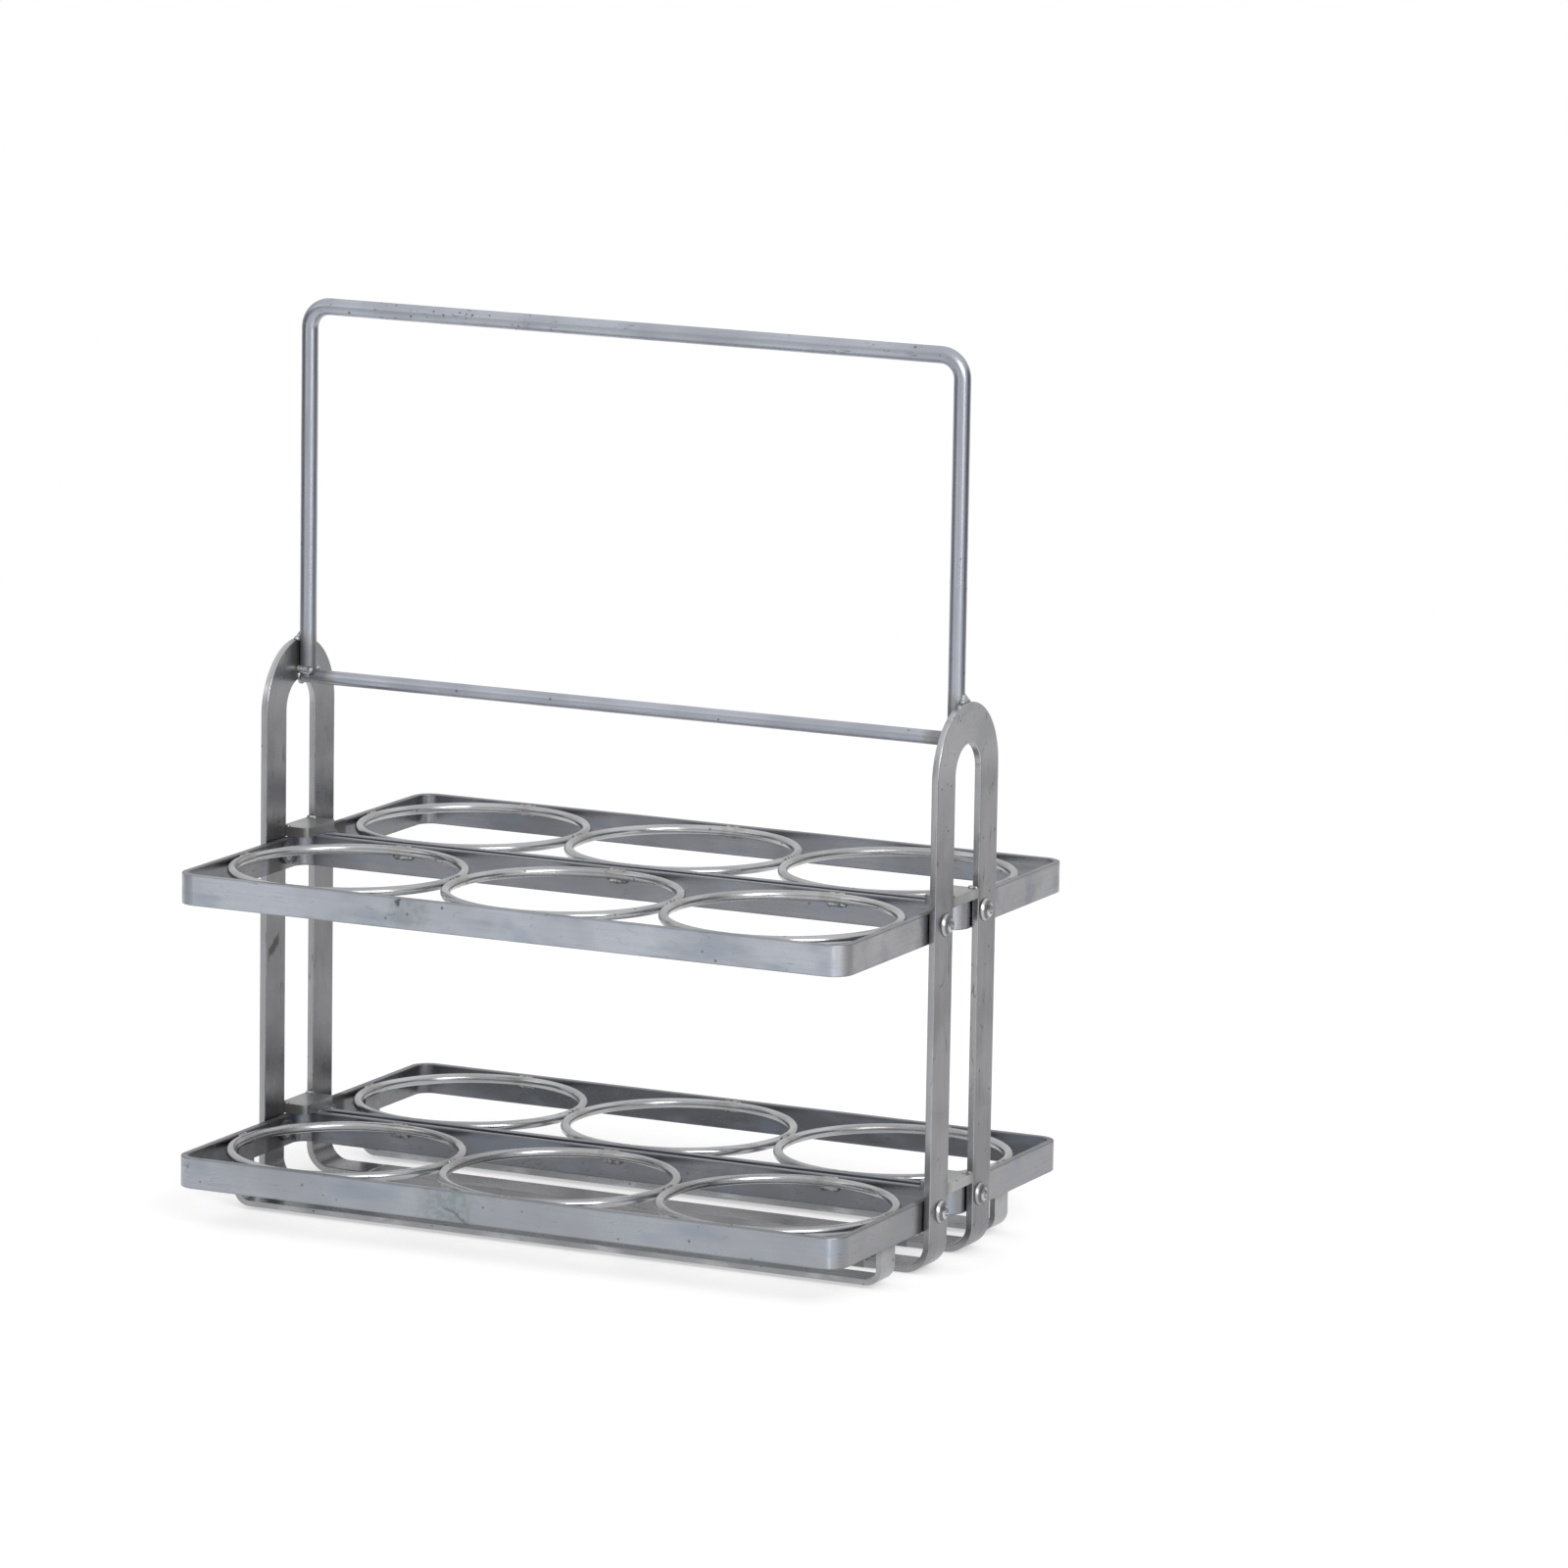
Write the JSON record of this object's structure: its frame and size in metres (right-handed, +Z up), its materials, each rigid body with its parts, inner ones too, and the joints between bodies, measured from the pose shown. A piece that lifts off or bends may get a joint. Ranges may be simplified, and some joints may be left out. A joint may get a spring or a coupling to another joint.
{
  "type": "folding bottle caddy",
  "caption": "Folding steel bottle caddy: arched end uprights with a rod handle, and riveted half trays of wire rings on two tiers that fold up.",
  "frame": {"origin": "on the floor under the middle of the caddy", "axes": "+X along the row of bottles to the right, -Y to the front, +Z up"},
  "size_m": [0.2706, 0.184, 0.321],
  "materials": {
    "upright_steel": "bare semi-gloss steel",
    "rod_steel": "bare semi-gloss steel",
    "plate_steel": "bare semi-gloss steel",
    "rivet_steel": "bare semi-gloss steel",
    "bar_steel": "bare semi-gloss steel",
    "wire_steel": "bare semi-gloss steel"
  },
  "bodies": {
    "carrier_frame": {"left_upright": "upright_steel", "right_upright": "upright_steel", "base_strap_front": "upright_steel", "base_strap_rear": "upright_steel", "cross_rod": "rod_steel", "carry_handle": "rod_steel", "lower_stop_plate_left": "plate_steel", "lower_front_rivet_left": "rivet_steel", "lower_rear_rivet_left": "rivet_steel", "lower_stop_plate_right": "plate_steel", "lower_front_rivet_right": "rivet_steel", "lower_rear_rivet_right": "rivet_steel", "upper_stop_plate_left": "plate_steel", "upper_front_rivet_left": "rivet_steel", "upper_rear_rivet_left": "rivet_steel", "upper_stop_plate_right": "plate_steel", "upper_front_rivet_right": "rivet_steel", "upper_rear_rivet_right": "rivet_steel"},
    "lower_front_tray": {"lower_front_rim": "bar_steel", "lower_front_ring_1": "wire_steel", "lower_front_ring_2": "wire_steel", "lower_front_ring_3": "wire_steel", "bottle_rest_front": "bar_steel"},
    "lower_rear_tray": {"lower_rear_rim": "bar_steel", "lower_rear_ring_1": "wire_steel", "lower_rear_ring_2": "wire_steel", "lower_rear_ring_3": "wire_steel", "bottle_rest_rear": "bar_steel"},
    "upper_front_tray": {"upper_front_rim": "bar_steel", "upper_front_ring_1": "wire_steel", "upper_front_ring_2": "wire_steel", "upper_front_ring_3": "wire_steel"},
    "upper_rear_tray": {"upper_rear_rim": "bar_steel", "upper_rear_ring_1": "wire_steel", "upper_rear_ring_2": "wire_steel", "upper_rear_ring_3": "wire_steel"}
  },
  "joints": [
    {"name": "lower_front_tray_fold", "type": "hinge", "parent": "carrier_frame", "child": "lower_front_tray", "pos_m": [0, -0.0162, 0.021], "axis": [1, 0, 0], "range_deg": [-90, 0]},
    {"name": "lower_rear_tray_fold", "type": "hinge", "parent": "carrier_frame", "child": "lower_rear_tray", "pos_m": [0, 0.0162, 0.021], "axis": [1, 0, 0], "range_deg": [0, 90]},
    {"name": "upper_front_tray_fold", "type": "hinge", "parent": "carrier_frame", "child": "upper_front_tray", "pos_m": [0, -0.0162, 0.1225], "axis": [1, 0, 0], "range_deg": [-90, 0]},
    {"name": "upper_rear_tray_fold", "type": "hinge", "parent": "carrier_frame", "child": "upper_rear_tray", "pos_m": [0, 0.0162, 0.1225], "axis": [1, 0, 0], "range_deg": [0, 90]}
  ]
}
